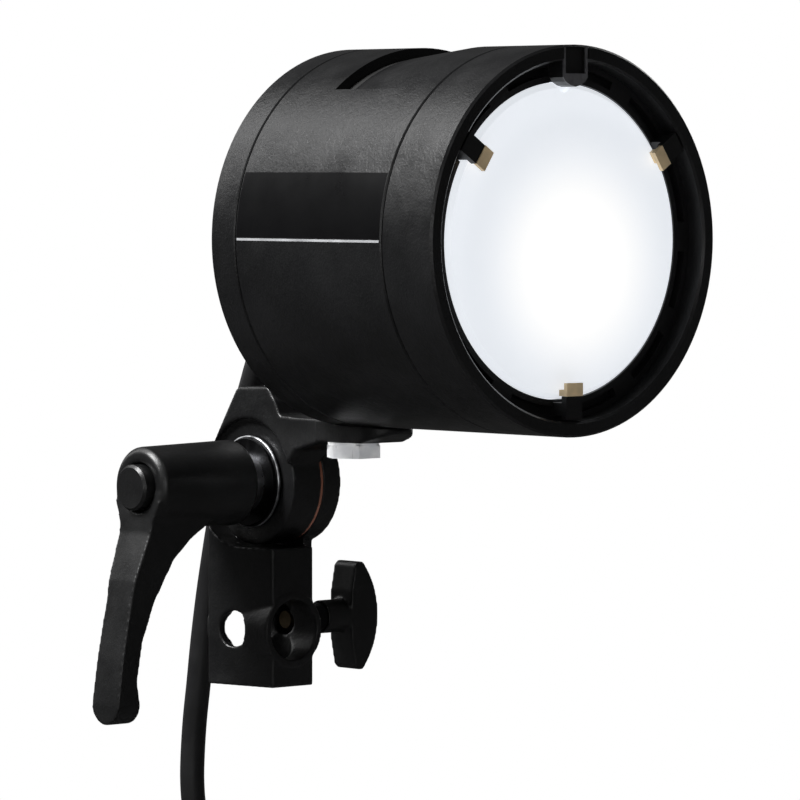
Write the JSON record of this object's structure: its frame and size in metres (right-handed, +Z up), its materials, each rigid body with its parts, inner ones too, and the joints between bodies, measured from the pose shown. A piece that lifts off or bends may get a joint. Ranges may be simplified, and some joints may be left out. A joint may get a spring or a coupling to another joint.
{
  "type": "monolight strobe",
  "caption": "Compact round flash head with frosted front glass, fixed cable and tilting light-stand adapter with clamping lever and wing knob.",
  "frame": {"origin": "centre of the upright stand socket's mouth", "axes": "+Z up along the light stand, lamp faces -Y, tilt axis along X, clamping lever on -X"},
  "size_m": [0.1261, 0.1812, 0.3628],
  "materials": {
    "body_black": "satin black, finely textured",
    "lug_black": "satin black, edges rubbed lighter",
    "pad_brass": "dull brass",
    "seal_rubber": "matte",
    "ring_black": "matte black moulding",
    "frosted": "frosted",
    "seal_grey": "grey silicone",
    "clip_bronze": "brushed, tarnished",
    "inner_alu": "satin",
    "inner_ceramic": "white, matte",
    "tube_glass": "clear",
    "led_yellow": "phosphor under a clear dome",
    "board_green": "solder mask",
    "part_grey": "moulded components",
    "panel_gloss": "glossy black",
    "trim_silver": "brushed",
    "washer_worn": "blackened steel, rim worn bright",
    "screw_black": "blackened steel",
    "zinc": "bright zinc plate",
    "arm_black": "matte black casting",
    "friction": "reddish friction disc",
    "knob_black": "finely grained black nylon",
    "cord_rubber": "matte black jacket",
    "tie_black": "woven strap"
  },
  "bodies": {
    "adapter": {"stand_adapter": "arm_black", "friction_washer": "friction", "tilt_bolt": "zinc", "bolt_cap": "knob_black", "cable_run": "cord_rubber", "cable_coil": "cord_rubber", "cable_tie": "tie_black", "cable_tail": "cord_rubber", "plug_body": "knob_black", "plug_pins": "clip_bronze"},
    "head": {"front_collar": "body_black", "main_casing": "body_black", "rear_cap": "body_black", "index_lug": "lug_black", "collar_seal": "seal_rubber", "cap_seal": "seal_rubber", "vent_strip": "seal_rubber", "holder_ring": "ring_black", "clip_blocks": "ring_black", "fan_frame": "ring_black", "frosted_glass": "frosted", "glass_seal": "seal_grey", "glass_clips": "clip_bronze", "bulkhead": "inner_alu", "reflector": "inner_alu", "heat_sink": "inner_alu", "tube_base": "inner_ceramic", "led_board": "inner_ceramic", "flash_tube": "tube_glass", "modelling_led": "led_yellow", "trigger_board": "board_green", "trigger_coil": "part_grey", "side_panel": "panel_gloss", "panel_trim": "trim_silver", "thrust_washer": "washer_worn", "cap_screws": "screw_black", "foot_washer": "zinc", "foot_bolt": "zinc", "tilt_arm": "arm_black", "cable_gland": "knob_black", "strain_relief": "cord_rubber"},
    "lever_nut": {"lever_insert": "inner_alu", "lever_screw": "zinc", "lever_button": "knob_black", "lever_spring": "zinc"},
    "lever": {"lever_handle": "knob_black"},
    "clamp_pad": {"pressure_pad": "pad_brass"},
    "clamp_knob": {"clamp_screw": "screw_black", "wing_knob": "knob_black"},
    "fan": {"fan_rotor": "ring_black"},
    "plug_lock": {"plug_ring": "zinc"}
  },
  "joints": [
    {"name": "head_tilt", "type": "hinge", "parent": "adapter", "child": "head", "pos_m": [0, 0, 0.0555], "axis": [1, 0, 0], "range_deg": [-60, 75], "deforming": ["cable_run"]},
    {"name": "lever_turn", "type": "hinge", "parent": "adapter", "child": "lever_nut", "pos_m": [0, 0, 0.0555], "axis": [1, 0, 0], "range_deg": [-45, 75]},
    {"name": "lever_pull", "type": "slide", "parent": "lever_nut", "child": "lever", "axis": [-1, 0, 0], "range_m": [0, 0.005], "stiffness_N_per_m": 1500, "springref_m": -0.002, "deforming": ["lever_spring"]},
    {"name": "clamp_travel", "type": "slide", "parent": "adapter", "child": "clamp_pad", "axis": [1, 0, 0], "range_m": [-0.0038, 0.0026]},
    {"name": "knob_turn", "type": "hinge", "parent": "clamp_pad", "child": "clamp_knob", "pos_m": [0.02, 0, 0.017], "axis": [1, 0, 0], "range_deg": [-1080, 720]},
    {"name": "fan_spin", "type": "hinge", "parent": "head", "child": "fan", "pos_m": [0, -0.043, 0.1225], "axis": [0, 1, 0], "continuous": true},
    {"name": "plug_lock_turn", "type": "hinge", "parent": "adapter", "child": "plug_lock", "pos_m": [0.06, 0.0386, -0.17], "axis": [0, 0, 1], "range_deg": [0, 90]}
  ],
  "couplings": [
    {"joint": "clamp_travel", "follows": "knob_turn", "m_per_rad": 0.00019894}
  ]
}
